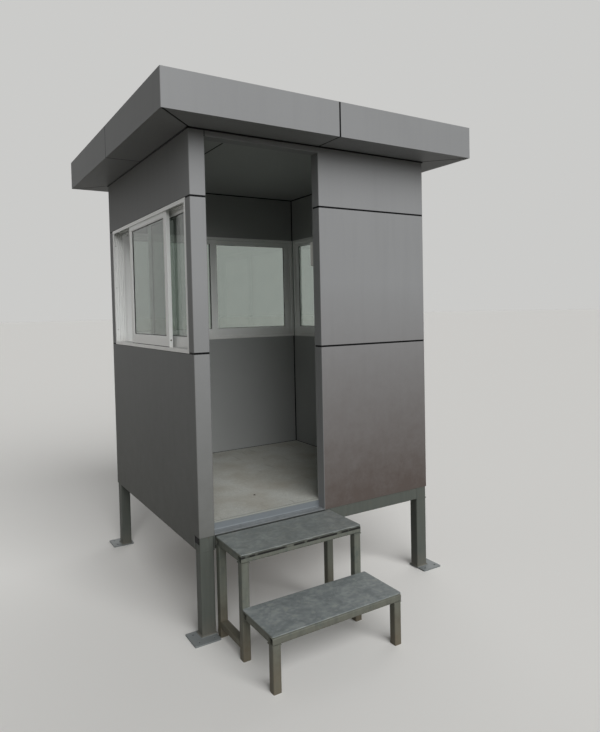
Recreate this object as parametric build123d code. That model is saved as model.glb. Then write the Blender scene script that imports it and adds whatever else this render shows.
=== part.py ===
from build123d import *
import os

os.makedirs("parts", exist_ok=True)

# Security guard booth on four legs, with sliding windows and two loose steps.
# Millimetres, Z up. The origin is on the ground under the middle of the booth.
# The front, with the doorway, faces -Y. The columns stand on the ground plates.

# Overall size of the clad body and the roof
WIDTH = 1500
DEPTH = 1500
OVERHANG = 200
BODY_Z = 430
COLUMN_SHOWN = 70
CLAD_FRONT_Z = BODY_Z + COLUMN_SHOWN
ROOF_Z = 2668
FASCIA = 178
EAVES_Z = ROOF_Z - FASCIA

# Wall build-up, from the outside inwards
SKIN = 4
FRAME = 60
LINING = 4
WALL = SKIN + FRAME + LINING
BEND = 5

# Heights of the two joints that run round the body, and the floor
LOWER_PANEL = 974
UPPER_PANEL = 325
JOINT_1_Z = BODY_Z + LOWER_PANEL
JOINT_2_Z = EAVES_Z - UPPER_PANEL
JOINT = 10
COVERING = 8
DECK = 38

# Doorway, measured from the left edge of the front
POST_WIDTH = 83
DOOR_WIDTH = 658
HEAD_STRIP = 35
HEAD_Z = EAVES_Z - HEAD_STRIP
SILL_LIP = 60

# Steel frame
COLUMN = 75
TUBE_WALL = 3
TUBE_ROUND = 6
BEAM = 70
RAIL = 40
JOIST = 50
JOISTS = 3
PLATE = 135
PLATE_THICK = 8
PLATE_OUT = 56
ANCHOR_INSET = 28
ANCHOR_R = 7

# Eaves
EAVES_TUBE = 40
LIP = 25
CEILING_SHEET = 1166

# Sliding windows
FRAME_FACE = 20
SASH = 20
STILE = 38
MEETING = 44
SASH_RAIL = 56
SASH_TOP = 28
TRACK_OUT = 6
TRACK_IN = 37
TRACK_BASE = 8
TRACK_RIB = 8
RIB_THICK = 3
OVERLAP = 44
GLASS = 5
GROOVE = 10
LEFT_SLIDE = 356

# Switch box beside the doorway
SWITCH_Z = 1850
SWITCH_WIDTH = 86
SWITCH_HEIGHT = 132
SWITCH_DEPTH = 32
SWITCH_OFF = 4

# Steps
STEP_DROP = 3
STEP_TOP_Z = BODY_Z + BEAM - STEP_DROP
STEP_LOW_Z = STEP_TOP_Z / 2
STEP_PLATE = 4
WELD = 5
WELD_LENGTH = 32
STEP_RIM = 32
STEP_LEG = 40
STEP_ASIDE = 2
STEP_X = POST_WIDTH + STEP_ASIDE
STEP_OVER = 22
STEP_TOP_WIDTH = DOOR_WIDTH + STEP_OVER
STEP_STAGGER = 20
STEP_LOW_WIDTH = STEP_TOP_WIDTH + STEP_STAGGER
STEP_TOP_DEPTH = 288
STEP_LOW_DEPTH = 282
STEP_GAP = 8
LOW_RAIL_Z = 50

# Clearance between members that are welded or mitred in the real object
CLEAR = 0.3

LEFT = -WIDTH / 2
RIGHT = WIDTH / 2
FRONT = -DEPTH / 2
BACK = DEPTH / 2
# Faces of the steel frame and of the finished room
FRAME_OUT_X = RIGHT - SKIN
FRAME_IN_X = RIGHT - SKIN - FRAME
FRAME_OUT_Y = BACK - SKIN
FRAME_IN_Y = BACK - SKIN - FRAME
ROOM_X = RIGHT - WALL
ROOM_Y = BACK - WALL
BEAM_TOP = BODY_Z + BEAM
SILL_Z = JOINT_1_Z - 2
LINTEL_Z = JOINT_2_Z + 2
RING_Z = EAVES_Z
RING_TOP = EAVES_Z + BEAM


def block(low, high):
    size = [b - a for a, b in zip(low, high)]
    return Pos(*low) * Box(*size, align=(Align.MIN, Align.MIN, Align.MIN))


def tube(low, high, along):
    """A hollow tube with rounded corners that fills the box from low to high."""
    size = [b - a for a, b in zip(low, high)]
    mid = [(a + b) / 2 for a, b in zip(low, high)]
    if along == "x":
        place = Plane(origin=(low[0], mid[1], mid[2]), x_dir=(0, 1, 0), z_dir=(1, 0, 0))
        wide, tall, length = size[1], size[2], size[0]
    elif along == "y":
        place = Plane(origin=(mid[0], low[1], mid[2]), x_dir=(0, 0, 1), z_dir=(0, 1, 0))
        wide, tall, length = size[2], size[0], size[1]
    else:
        place = Plane(origin=(mid[0], mid[1], low[2]), x_dir=(1, 0, 0), z_dir=(0, 0, 1))
        wide, tall, length = size[0], size[1], size[2]
    outer = RectangleRounded(wide, tall, TUBE_ROUND)
    inner = RectangleRounded(wide - 2 * TUBE_WALL, tall - 2 * TUBE_WALL, TUBE_ROUND - TUBE_WALL)
    return extrude(place * (outer - inner), length)


def bent(points, low_z, high_z, side=Side.LEFT, set_back=0):
    """Sheet bent along a plan line of its outer face, standing from low_z to high_z."""
    line = FilletPolyline(*points, radius=BEND)
    face = make_face(offset(line, amount=SKIN, side=side, closed=True))
    if set_back:
        face -= make_face(offset(line, amount=set_back, side=side, closed=True))
    return Pos(0, 0, low_z) * extrude(face, high_z - low_z)


def mirror_x(shape):
    return mirror(shape, about=Plane.YZ)


def mirror_y(shape):
    return mirror(shape, about=Plane.XZ)


def save(name, *shapes):
    solids = [solid for shape in shapes for solid in shape.solids()]
    shape = solids[0] if len(solids) == 1 else Compound(children=solids)
    export_step(shape, f"parts/{name}.step")


# Ground plates and columns. The front columns are wide along X, the rear ones
# along Y. A plate is flush with the inner faces and stands out past the corner.
def ground_plate():
    outer_x = LEFT - PLATE_OUT
    outer_y = FRONT - PLATE_OUT
    plate = block((outer_x, outer_y, 0), (outer_x + PLATE, outer_y + PLATE, PLATE_THICK))
    plate = fillet(plate.edges().filter_by(Axis.Z), 4)
    far = PLATE - ANCHOR_INSET
    for dx, dy in ((ANCHOR_INSET, ANCHOR_INSET), (ANCHOR_INSET, far), (far, ANCHOR_INSET)):
        plate -= Pos(outer_x + dx, outer_y + dy, 0) * Cylinder(ANCHOR_R, 3 * PLATE_THICK)
    return plate


front_plates = [ground_plate(), mirror_x(ground_plate())]
save("ground_plates", *front_plates, *[mirror_y(plate) for plate in front_plates])

front_column = tube(
    (-FRAME_OUT_X, -FRAME_OUT_Y, PLATE_THICK),
    (-FRAME_OUT_X + COLUMN, -FRAME_IN_Y, EAVES_Z),
    "z",
)
rear_column = tube(
    (-FRAME_OUT_X, FRAME_OUT_Y - COLUMN, PLATE_THICK),
    (-FRAME_IN_X, FRAME_OUT_Y, EAVES_Z),
    "z",
)
save("columns", front_column, mirror_x(front_column), rear_column, mirror_x(rear_column))

# Base frame and floor
column_in_x = FRAME_OUT_X - COLUMN
column_in_y = FRAME_OUT_Y - COLUMN
front_beam = tube((-column_in_x, -FRAME_OUT_Y, BODY_Z), (column_in_x, -FRAME_IN_Y, BEAM_TOP), "x")
back_beam = tube((-FRAME_IN_X, FRAME_IN_Y, BODY_Z), (FRAME_IN_X, FRAME_OUT_Y, BEAM_TOP), "x")
side_beam = tube((-FRAME_OUT_X, -FRAME_IN_Y, BODY_Z), (-FRAME_IN_X, column_in_y, BEAM_TOP), "y")
save("base_beams", front_beam, back_beam, side_beam, mirror_x(side_beam))

joists = []
for index in range(JOISTS):
    middle = -FRAME_IN_X + (index + 1) * 2 * FRAME_IN_X / (JOISTS + 1)
    joists.append(
        tube(
            (middle - JOIST / 2, -FRAME_IN_Y, BEAM_TOP - JOIST),
            (middle + JOIST / 2, FRAME_IN_Y, BEAM_TOP),
            "y",
        )
    )
save("floor_joists", *joists)

deck_top = BEAM_TOP + DECK
save("floor_deck", block((-FRAME_IN_X, -FRAME_IN_Y, BEAM_TOP), (FRAME_IN_X, FRAME_IN_Y, deck_top)))

# The covering fills the room and runs on into the doorway
door_left = LEFT + POST_WIDTH
door_right = door_left + DOOR_WIDTH
floor_z = deck_top + COVERING
covering = block((-ROOM_X, -ROOM_Y, deck_top), (ROOM_X, ROOM_Y, floor_z))
covering += block((door_left, -FRAME_IN_Y, deck_top), (door_right, -ROOM_Y, floor_z))
save("floor_covering", covering)

# Door sill: one sheet bent up behind, flat over the front beam and down in front
sill_line = FilletPolyline(
    (FRONT, BEAM_TOP + SKIN - SILL_LIP),
    (FRONT, BEAM_TOP + SKIN),
    (-FRAME_IN_Y - CLEAR - SKIN, BEAM_TOP + SKIN),
    (-FRAME_IN_Y - CLEAR - SKIN, deck_top),
    radius=BEND,
)
sill_face = make_face(offset(sill_line, amount=SKIN, side=Side.RIGHT, closed=True))
sill_place = Plane(origin=(door_left + CLEAR, 0, 0), x_dir=(0, 1, 0), z_dir=(1, 0, 0))
save("door_sill", extrude(sill_place * sill_face, door_right - door_left - 2 * CLEAR))

# Levels of the cladding between the joints
lower_top = JOINT_1_Z - JOINT / 2
middle_low = JOINT_1_Z + JOINT / 2
middle_top = JOINT_2_Z - JOINT / 2
upper_low = JOINT_2_Z + JOINT / 2
FRONT_LEVELS = ((CLAD_FRONT_Z, lower_top), (middle_low, middle_top), (upper_low, EAVES_Z))
SIDE_LEVELS = ((BODY_Z, lower_top), (middle_low, middle_top), (upper_low, EAVES_Z))
JOINT_LEVELS = ((lower_top, middle_low), (middle_top, upper_low))

# Cladding of the post left of the doorway, folded round its three outer sides
post_line = (
    (LEFT, -FRAME_IN_Y),
    (LEFT, FRONT),
    (door_left, FRONT),
    (door_left, -FRAME_IN_Y),
)
beam_notch = block((-column_in_x, -FRAME_OUT_Y, BODY_Z), (column_in_x, -FRAME_IN_Y, BEAM_TOP))
save("front_post_cladding", *[bent(post_line, low, high) - beam_notch for low, high in FRONT_LEVELS])

# Front panels right of the doorway: a return into the doorway, the front face
# and a return round the corner. The top one also runs over the doorway.
front_line = (
    (door_right, -FRAME_IN_Y),
    (door_right, FRONT),
    (RIGHT, FRONT),
    (RIGHT, -FRAME_IN_Y),
)
front_panels = [bent(front_line, low, high) - beam_notch for low, high in FRONT_LEVELS]
save("front_lower_panel", front_panels[0])
save("front_middle_panel", front_panels[1])
head_strip = block((door_left + CLEAR, FRONT, HEAD_Z), (door_right + SKIN + BEND, FRONT + SKIN, EAVES_Z))
head_return = block((door_left + CLEAR, FRONT, HEAD_Z), (door_right, -FRAME_IN_Y, HEAD_Z + SKIN))
save("front_upper_panel", front_panels[2] + head_strip + head_return)

# Rear corner cladding, folded round the rear columns
rear_line = (
    (LEFT, column_in_y + CLEAR),
    (LEFT, BACK),
    (-FRAME_IN_X, BACK),
)
rear_corners = [bent(rear_line, low, high, side=Side.RIGHT) for low, high in SIDE_LEVELS]
save("rear_corner_cladding", *rear_corners, *[mirror_x(corner) for corner in rear_corners])

# Flat panels below and above the three windows
for name, (low, high) in (("lower", SIDE_LEVELS[0]), ("upper", SIDE_LEVELS[2])):
    side_panel = block((LEFT, -FRAME_IN_Y + CLEAR, low), (LEFT + SKIN, column_in_y, high))
    back_panel = block((-FRAME_IN_X + CLEAR, BACK - SKIN, low), (FRAME_IN_X - CLEAR, BACK, high))
    save(f"left_{name}_panel", side_panel)
    save(f"right_{name}_panel", mirror_x(side_panel))
    save(f"back_{name}_panel", back_panel)

# Rails under and over the windows, the door post and the rail over the doorway
window_rails = []
for low, high in ((SILL_Z - RAIL, SILL_Z), (LINTEL_Z, LINTEL_Z + RAIL)):
    side_rail = tube((-FRAME_OUT_X, -FRAME_IN_Y, low), (-FRAME_IN_X, column_in_y, high), "y")
    back_rail = tube((-FRAME_IN_X, FRAME_IN_Y, low), (FRAME_IN_X, FRAME_OUT_Y, high), "x")
    window_rails += [side_rail, mirror_x(side_rail), back_rail]
save("window_rails", *window_rails)

post_left = door_right + SKIN
post_right = post_left + RAIL
door_post = tube((post_left, -FRAME_OUT_Y, BEAM_TOP), (post_right, -FRAME_IN_Y, EAVES_Z), "z")
head_rail = tube((door_left, -FRAME_OUT_Y, HEAD_Z + SKIN), (door_right, -FRAME_IN_Y, EAVES_Z), "x")
save("door_frame_rails", door_post, head_rail)

# Insulation boards that fill the walls between the rails
cores = []
for low, high in ((BEAM_TOP, SILL_Z - RAIL), (LINTEL_Z + RAIL, EAVES_Z)):
    side_core = block((-FRAME_OUT_X, -FRAME_IN_Y, low), (-FRAME_IN_X, column_in_y, high))
    back_core = block((-FRAME_IN_X, FRAME_IN_Y, low), (FRAME_IN_X, FRAME_OUT_Y, high))
    cores += [side_core, mirror_x(side_core), back_core]
front_core = block((post_right, -FRAME_OUT_Y, BEAM_TOP), (column_in_x, -FRAME_IN_Y, EAVES_Z))
save("wall_cores", *cores, front_core)

# Inner linings
linings = []
for low, high in ((deck_top, SILL_Z), (LINTEL_Z, EAVES_Z)):
    side_lining = block((-FRAME_IN_X, -ROOM_Y, low), (-ROOM_X, ROOM_Y - CLEAR, high))
    back_lining = block((-FRAME_IN_X, ROOM_Y, low), (FRAME_IN_X, FRAME_IN_Y, high))
    linings += [side_lining, mirror_x(side_lining), back_lining]
save("wall_linings", *linings)

right_lining = block((door_right, -FRAME_IN_Y, deck_top), (ROOM_X, -ROOM_Y - CLEAR, EAVES_Z))
post_lining = block((-ROOM_X, -FRAME_IN_Y, deck_top), (door_left, -ROOM_Y - CLEAR, HEAD_Z))
over_lining = block((-ROOM_X, -FRAME_IN_Y, HEAD_Z), (door_right, -ROOM_Y - CLEAR, EAVES_Z))
save("front_lining", right_lining + post_lining + over_lining)

# Ceiling, ring beam and the frame of the roof edge
# The ceiling is one full sheet from the right wall and a strip beside it
sheet_edge = FRAME_IN_X - CEILING_SHEET
strip_edge = sheet_edge - JOINT
ceiling_sheet = block((sheet_edge, -FRAME_IN_Y, EAVES_Z), (FRAME_IN_X, FRAME_IN_Y, EAVES_Z + SKIN))
ceiling_strip = block((-FRAME_IN_X, -FRAME_IN_Y, EAVES_Z), (strip_edge, FRAME_IN_Y, EAVES_Z + SKIN))
save("ceiling_panel", ceiling_sheet, ceiling_strip)

front_ring = tube((-FRAME_OUT_X, -FRAME_OUT_Y, RING_Z), (FRAME_OUT_X, -FRAME_IN_Y, RING_TOP), "x")
side_ring = tube(
    (-FRAME_OUT_X, -FRAME_IN_Y + CLEAR, RING_Z), (-FRAME_IN_X, FRAME_IN_Y - CLEAR, RING_TOP), "y"
)
save("ring_beam", front_ring, mirror_y(front_ring), side_ring, mirror_x(side_ring))

eaves_x = RIGHT + OVERHANG - SKIN
eaves_y = BACK + OVERHANG - SKIN
eaves_low = EAVES_Z + SKIN
eaves_top = ROOF_Z - SKIN
front_end = eaves_x - BEND + SKIN
eaves_tubes = []
for low, high in ((eaves_low, eaves_low + EAVES_TUBE), (eaves_top - EAVES_TUBE, eaves_top)):
    front_tube = tube((-front_end, -eaves_y, low), (front_end, -eaves_y + EAVES_TUBE, high), "x")
    side_end = eaves_y - EAVES_TUBE - CLEAR
    side_tube = tube((-eaves_x, -side_end, low), (-eaves_x + EAVES_TUBE, side_end, high), "y")
    eaves_tubes += [front_tube, mirror_y(front_tube), side_tube, mirror_x(side_tube)]
save("eaves_frame", *eaves_tubes)

# Struts from the ring beam out to the eaves, uprights between the two eaves
# tubes and purlins under the roof sheet
strut_x = WIDTH / 4
strut_y = DEPTH / 4
half = EAVES_TUBE / 2
struts = []
for middle in (-strut_x, strut_x):
    struts.append(
        tube(
            (middle - half, -eaves_y + EAVES_TUBE, eaves_low),
            (middle + half, -FRAME_OUT_Y, eaves_low + EAVES_TUBE),
            "y",
        )
    )
for middle in (-strut_y, strut_y):
    struts.append(
        tube(
            (-eaves_x + EAVES_TUBE, middle - half, eaves_low),
            (-FRAME_OUT_X, middle + half, eaves_low + EAVES_TUBE),
            "x",
        )
    )
struts += [mirror_y(strut) for strut in struts[:2]] + [mirror_x(strut) for strut in struts[2:4]]
upright_x = eaves_x - half
upright_y = eaves_y - half
upright_low = eaves_low + EAVES_TUBE
upright_high = eaves_top - EAVES_TUBE
for x, y in (
    (-upright_x, -upright_y),
    (upright_x, -upright_y),
    (-upright_x, upright_y),
    (upright_x, upright_y),
    (0, -upright_y),
    (0, upright_y),
    (-upright_x, 0),
    (upright_x, 0),
):
    struts.append(tube((x - half, y - half, upright_low), (x + half, y + half, upright_high), "z"))
for middle in (-strut_x, strut_x):
    struts.append(
        tube(
            (middle - half, -eaves_y + EAVES_TUBE, upright_high),
            (middle + half, eaves_y - EAVES_TUBE, eaves_top),
            "y",
        )
    )
save("roof_struts", *struts)

# Fascia: four cassettes, each folded round a corner of the roof and meeting the
# next in the middle of a side, with a lip turned in over the top
fascia_line = (
    (-eaves_x - SKIN, -JOINT / 2),
    (-eaves_x - SKIN, -eaves_y - SKIN),
    (-JOINT / 2, -eaves_y - SKIN),
)
fascia_lip = block((-eaves_x, -eaves_y, eaves_top), (-eaves_x + LIP, -JOINT / 2, ROOF_Z))
fascia_lip += block((-eaves_x, -eaves_y, eaves_top), (-JOINT / 2, -eaves_y + LIP, ROOF_Z))
fascia = bent(fascia_line, EAVES_Z, ROOF_Z) + fascia_lip
fascias = [fascia, mirror_x(fascia), mirror_y(fascia), mirror_y(mirror_x(fascia))]
save("fascia_panels", *fascias)

# Soffit: two mitred panels to each side of the roof
soffit_in_x = FRAME_OUT_X + CLEAR
soffit_in_y = FRAME_OUT_Y + CLEAR
gap = JOINT / 2
front_soffit = make_face(
    Polyline(
        (-gap, -eaves_y),
        (-eaves_x + gap * 2, -eaves_y),
        (-soffit_in_x + gap * 2, -soffit_in_y),
        (-gap, -soffit_in_y),
        close=True,
    )
)
side_soffit = make_face(
    Polyline(
        (-eaves_x, -gap),
        (-eaves_x, -eaves_y + gap),
        (-soffit_in_x, -soffit_in_y + gap),
        (-soffit_in_x, -gap),
        close=True,
    )
)
soffits = []
for face in (front_soffit, side_soffit):
    panel = Pos(0, 0, EAVES_Z) * extrude(face, SKIN)
    soffits += [panel, mirror_x(panel), mirror_y(panel), mirror_y(mirror_x(panel))]
save("soffit_panels", *soffits)

roof_x = eaves_x - LIP - CLEAR
roof_y = eaves_y - LIP - CLEAR
save("roof_sheet", block((-roof_x, -roof_y, eaves_top), (roof_x, roof_y, ROOF_Z - 1)))


# Black sealant set a little back in the joints between the panels
def soffit_seal(*points):
    """A strip of sealant in a soffit joint, drawn by the corners of the joint."""
    face = make_face(Polyline(*points, close=True))
    return Pos(0, 0, EAVES_Z + 1) * extrude(face, SKIN - 1)


seals = []
for low, high in JOINT_LEVELS:
    seals.append(bent(post_line, low, high, set_back=1))
    seals.append(bent(front_line, low, high, set_back=1))
    rear_seal = bent(rear_line, low, high, side=Side.RIGHT, set_back=1)
    seals += [rear_seal, mirror_x(rear_seal)]
front_butt = block((-gap, -eaves_y - SKIN + 1, EAVES_Z), (gap, -eaves_y, ROOF_Z))
side_butt = block((-eaves_x - SKIN + 1, -gap, EAVES_Z), (-eaves_x, gap, ROOF_Z))
seals += [front_butt, mirror_y(front_butt), side_butt, mirror_x(side_butt)]
mitre_seal = soffit_seal(
    (-eaves_x, -eaves_y + BEND - SKIN),
    (-eaves_x + BEND - SKIN, -eaves_y),
    (-eaves_x + JOINT, -eaves_y),
    (-soffit_in_x + JOINT, -soffit_in_y),
    (-soffit_in_x, -soffit_in_y),
    (-soffit_in_x, -soffit_in_y + gap),
    (-eaves_x, -eaves_y + gap),
)
seals += [mitre_seal, mirror_x(mitre_seal), mirror_y(mitre_seal), mirror_y(mirror_x(mitre_seal))]
front_seal = soffit_seal((-gap, -eaves_y), (gap, -eaves_y), (gap, -soffit_in_y), (-gap, -soffit_in_y))
side_seal = soffit_seal((-eaves_x, -gap), (-soffit_in_x, -gap), (-soffit_in_x, gap), (-eaves_x, gap))
seals += [front_seal, mirror_y(front_seal), side_seal, mirror_x(side_seal)]
seals.append(block((strip_edge, -FRAME_IN_Y, EAVES_Z + 1), (sheet_edge, FRAME_IN_Y, EAVES_Z + SKIN)))
save("joint_seals", *seals)


# Sliding windows. Each is drawn as seen from outside, with x to the right, y
# into the wall and z up, and then turned onto its wall.
window_h = LINTEL_Z - SILL_Z - CLEAR


def frame_profile():
    """Section of a frame member: a channel with two tracks, u inwards, y deep."""
    section = Rectangle(FRAME_FACE, WALL, align=(Align.MIN, Align.MIN))
    for start in (TRACK_OUT, TRACK_IN - 1):
        channel = Rectangle(FRAME_FACE, SASH + 2, align=(Align.MIN, Align.MIN))
        section -= Pos(TRACK_BASE, start) * channel
    for start in (TRACK_OUT, TRACK_IN):
        rib = Rectangle(TRACK_RIB, RIB_THICK, align=(Align.MIN, Align.CENTER))
        section += Pos(TRACK_BASE, start + SASH / 2 + 1) * rib
    return section


def mitred_ring(width, height):
    """The four frame members, cut at 45 degrees where they meet."""
    members = []
    section = frame_profile()
    for length, turn, spot in (
        (width, 0, (0, 0)),
        (height, 90, (width / 2, height / 2)),
        (width, 180, (0, height)),
        (height, 270, (-width / 2, height / 2)),
    ):
        place = Plane(origin=(-length / 2, 0, 0), x_dir=(0, 0, 1), z_dir=(1, 0, 0))
        bar = extrude(place * mirror(section, about=Plane.XZ), length)
        wedge = make_face(
            Plane.XZ
            * Polyline(
                (-length / 2 + CLEAR, 0),
                (length / 2 - CLEAR, 0),
                (length / 2 - CLEAR - FRAME_FACE, FRAME_FACE),
                (-length / 2 + CLEAR + FRAME_FACE, FRAME_FACE),
                close=True,
            )
        )
        bar &= extrude(wedge, -WALL - 1) + extrude(wedge, WALL + 1)
        members.append(Pos(spot[0], 0, spot[1]) * Rot(0, -turn, 0) * bar)
    return members


def sash(left, right, track, low, high, meeting_right):
    """One sash: two stiles, two rails between them, and its pane."""
    near = track + 1
    far = near + SASH
    glass_y = (near + far) / 2
    left_w = STILE if meeting_right else MEETING
    right_w = MEETING if meeting_right else STILE
    members = [
        block((left, near, low), (left + left_w, far, high)),
        block((right - right_w, near, low), (right, far, high)),
        block((left + left_w + CLEAR, near, low), (right - right_w - CLEAR, far, low + SASH_RAIL)),
        block((left + left_w + CLEAR, near, high - SASH_TOP), (right - right_w - CLEAR, far, high)),
    ]
    pane_low = (left + left_w - GROOVE, glass_y - GLASS / 2, low + SASH_RAIL - GROOVE)
    pane_high = (right - right_w + GROOVE, glass_y + GLASS / 2, high - SASH_TOP + GROOVE)
    slot_low = [value - CLEAR for value in pane_low]
    slot_high = [value + CLEAR for value in pane_high]
    slot = block(slot_low, slot_high)
    return [member - slot for member in members], block(pane_low, pane_high)


def window(width, slide):
    members = mitred_ring(width, window_h)
    inner = width / 2 - TRACK_BASE - TRACK_RIB - CLEAR
    low = TRACK_BASE + TRACK_RIB + CLEAR
    high = window_h - low
    outer_sash, outer_pane = sash(-inner + slide, OVERLAP / 2 + slide, TRACK_OUT, low, high, True)
    inner_sash, inner_pane = sash(-OVERLAP / 2, inner, TRACK_IN, low, high, False)
    return members, outer_sash + inner_sash, [outer_pane, inner_pane]


side_window = column_in_y + FRAME_IN_Y - 2
back_window = 2 * FRAME_IN_X - 2
side_shift = (column_in_y - FRAME_IN_Y) / 2
panes = []
for name, width, slide, turn, middle, depth in (
    ("left", side_window, LEFT_SLIDE, -90, side_shift, WIDTH / 2),
    ("right", side_window, 0, 90, side_shift, WIDTH / 2),
    ("back", back_window, 0, 180, 0, DEPTH / 2),
):
    members, sashes, glass = window(width, slide)
    place = Pos(0, middle, SILL_Z) * Rot(0, 0, turn) * Pos(0, -depth, 0)
    save(f"{name}_window_frame", *[place * member for member in members])
    save(f"{name}_window_sashes", *[place * member for member in sashes])
    panes += [place * pane for pane in glass]
save("window_panes", *panes)

# Switch box on the inner face of the front wall, beside the doorway
switch_x = door_right + SWITCH_OFF
switch = block(
    (switch_x, -ROOM_Y - CLEAR, SWITCH_Z),
    (switch_x + SWITCH_WIDTH, -ROOM_Y + SWITCH_DEPTH, SWITCH_Z + SWITCH_HEIGHT),
)
switch = fillet(switch.edges().filter_by(Axis.Y), 6)
save("switch_box", switch)

# Steps: two welded tables of square tube with plate treads, the lower one
# fixed to the front legs of the upper one
step_left = LEFT + STEP_X
top_right = step_left + STEP_TOP_WIDTH
low_right = step_left + STEP_LOW_WIDTH
top_front = FRONT - STEP_TOP_DEPTH
low_front = top_front - STEP_LOW_DEPTH
top_rim_low = STEP_TOP_Z - STEP_PLATE - WELD - STEP_RIM
low_rim_low = STEP_LOW_Z - STEP_PLATE - WELD - STEP_RIM


def leg(x, y, top):
    return tube((x, y, 0), (x + STEP_LEG, y + STEP_LEG, top), "z")


def rim(left, right, front, back, low):
    """Front and back rails full width, side rails between them."""
    high = low + STEP_RIM
    inner_front = front + STEP_LEG + CLEAR
    inner_back = back - STEP_LEG - CLEAR
    return [
        tube((left, front, low), (right, front + STEP_LEG, high), "x"),
        tube((left, back - STEP_LEG, low), (right, back, high), "x"),
        tube((left, inner_front, low), (left + STEP_LEG, inner_back, high), "y"),
        tube((right - STEP_LEG, inner_front, low), (right, inner_back, high), "y"),
    ]


upper_legs = [
    leg(x, y, top_rim_low)
    for x in (step_left, top_right - STEP_LEG)
    for y in (top_front, FRONT - STEP_LEG)
]
save("step_upper_legs", *upper_legs)

low_rails = [
    tube(
        (x, top_front + STEP_LEG, LOW_RAIL_Z),
        (x + STEP_LEG, FRONT - STEP_LEG, LOW_RAIL_Z + STEP_RIM),
        "y",
    )
    for x in (step_left, top_right - STEP_LEG)
]
save("step_upper_rim", *rim(step_left, top_right, top_front, FRONT, top_rim_low), *low_rails)


def tread(left, right, front, back, top):
    """A plate held just above its rim by short stitch welds along the four sides."""
    plate = block((left, front, top - STEP_PLATE), (right, back, top))
    plate = fillet(plate.edges().filter_by(Axis.Z), 6)
    weld_low = top - STEP_PLATE - WELD
    weld_high = top - STEP_PLATE
    inset = TUBE_ROUND
    for share in (0.06, 0.3, 0.55, 0.78, 0.94):
        start = left + share * (right - left) - WELD_LENGTH / 2
        for near, far in ((front + inset, front + 2 * inset), (back - 2 * inset, back - inset)):
            plate += block((start, near, weld_low), (start + WELD_LENGTH, far, weld_high))
    return plate


save("step_upper_tread", tread(step_left, top_right, top_front, FRONT - STEP_GAP, STEP_TOP_Z))

lower_legs = [leg(x, low_front, low_rim_low) for x in (step_left, low_right - STEP_LEG)]
save("step_lower_legs", *lower_legs)
save("step_lower_rim", *rim(step_left, low_right, low_front, top_front, low_rim_low))
save("step_lower_tread", tread(step_left, low_right, low_front, top_front, STEP_LOW_Z))
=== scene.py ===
import math
import bmesh
import bpy
from mathutils import Matrix, Vector


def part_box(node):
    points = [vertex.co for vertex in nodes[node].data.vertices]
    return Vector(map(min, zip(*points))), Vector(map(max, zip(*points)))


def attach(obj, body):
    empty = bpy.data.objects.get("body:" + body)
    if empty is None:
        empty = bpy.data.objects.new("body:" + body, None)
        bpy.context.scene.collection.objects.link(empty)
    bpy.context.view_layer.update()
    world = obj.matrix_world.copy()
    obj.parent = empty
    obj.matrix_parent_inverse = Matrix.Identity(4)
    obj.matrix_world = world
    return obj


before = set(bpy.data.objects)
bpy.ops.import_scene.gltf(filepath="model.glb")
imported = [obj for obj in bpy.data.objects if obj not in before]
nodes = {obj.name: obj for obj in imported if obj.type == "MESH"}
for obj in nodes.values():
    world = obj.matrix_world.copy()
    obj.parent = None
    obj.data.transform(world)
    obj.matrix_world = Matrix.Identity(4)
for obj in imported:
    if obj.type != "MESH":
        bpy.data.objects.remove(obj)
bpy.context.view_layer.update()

bpy.ops.object.select_all(action="DESELECT")


# ---------------------------------------------------------------- columns and plates
# Four rectangular steel tubes stand on square ground plates and carry the booth.
# Mild steel, brushed with one coat of grey alkyd paint once the feet and the
# floor beams were welded on, so the welds show through it.
def rgba(code):
    """An sRGB hex colour as the linear colour that a shader takes."""
    parts = [int(code[at:at + 2], 16) / 255 for at in (1, 3, 5)]
    return [p / 12.92 if p <= 0.04045 else ((p + 0.055) / 1.055) ** 2.4 for p in parts] + [1.0]


def add_node(material, kind, settings=(), links=()):
    """Adds a shader node, sets its options and sockets, and links other sockets into it."""
    made = material.node_tree.nodes.new("ShaderNode" + kind)
    for key, value in dict(settings).items():
        if isinstance(key, int) or key in made.inputs:
            made.inputs[key].default_value = value
        else:
            setattr(made, key, value)
    for key, socket in dict(links).items():
        material.node_tree.links.new(socket, made.inputs[key])
    return made


def new_finish(name):
    """An empty node material, and the object coordinates that its patterns are laid out in."""
    material = bpy.data.materials.new(name)
    material.use_nodes = True
    material.node_tree.nodes.clear()
    return material, add_node(material, "TexCoord").outputs["Object"]


def dress(material, *names):
    """Gives CAD nodes their finish."""
    for name in names:
        nodes[name].data.materials.clear()
        nodes[name].data.materials.append(material)


def fit(name, material):
    """Puts the new piece's place into its mesh, names it and fixes it to the booth."""
    piece = bpy.context.object
    bpy.ops.object.transform_apply(location=True, rotation=True, scale=True)
    piece.name = name
    piece.data.materials.clear()
    piece.data.materials.append(material)
    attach(piece, "root")
    bpy.ops.object.select_all(action="DESELECT")


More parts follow.
